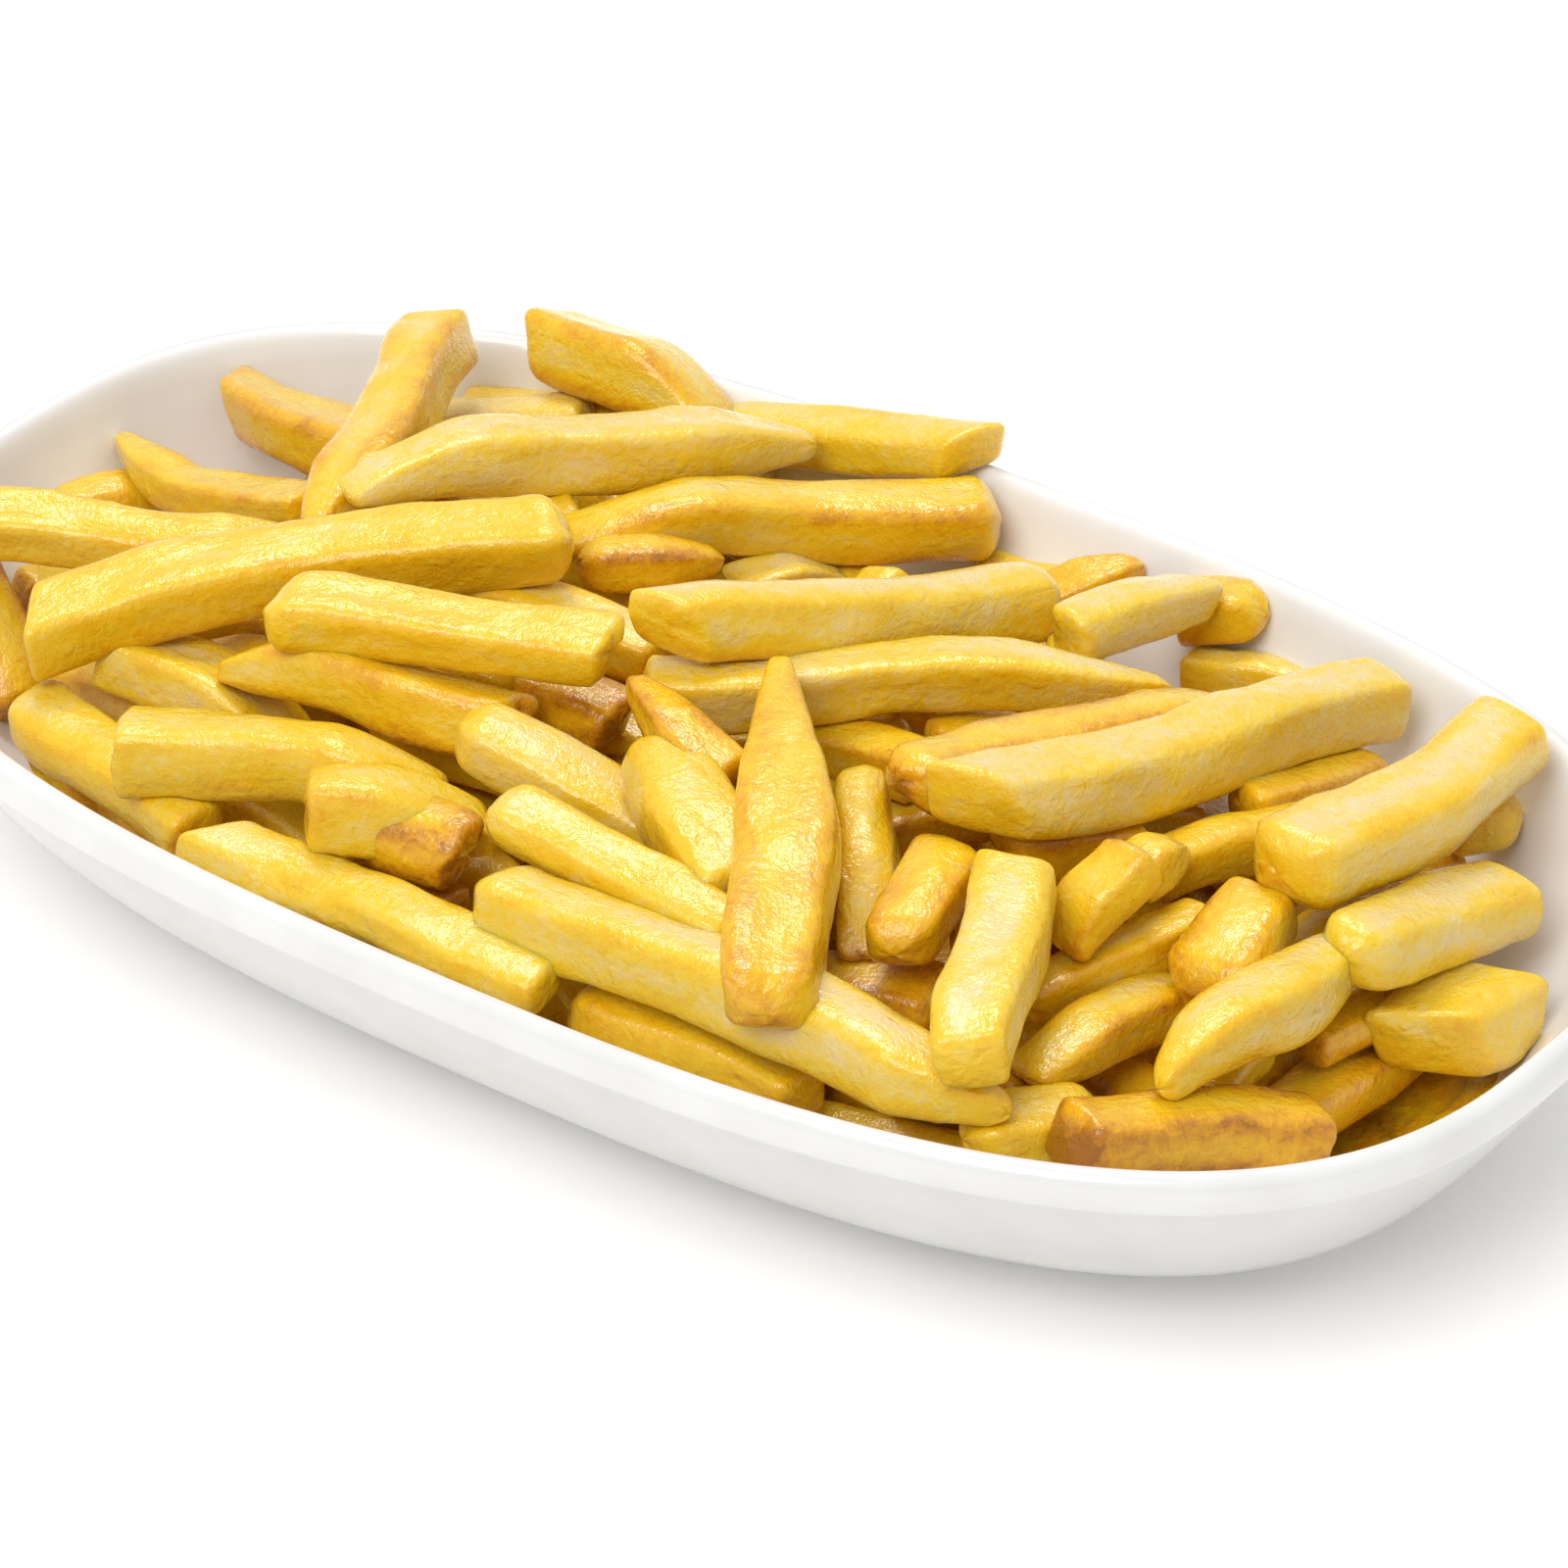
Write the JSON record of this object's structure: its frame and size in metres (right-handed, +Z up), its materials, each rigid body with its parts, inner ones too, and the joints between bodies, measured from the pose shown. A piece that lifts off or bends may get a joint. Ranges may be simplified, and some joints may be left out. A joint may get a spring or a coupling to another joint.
{
  "type": "french fries portion in an oval dish",
  "caption": "Heaped portion of thick-cut golden french fries of uneven lengths, lying crosswise in a white glazed oval serving dish with a rounded rim.",
  "frame": {"origin": "middle of the dish's foot, on the surface that it stands on", "axes": "+Z up; +X along the dish's long side; +Y across it, towards the side that the fries lean away to"},
  "size_m": [0.28, 0.16, 0.0621],
  "materials": {
    "dish": "gloss",
    "fries": "fried potato with a thin film of oil"
  },
  "bodies": {
    "root": {"dish": "dish", "fries_heap": "fries"}
  },
  "joints": []
}
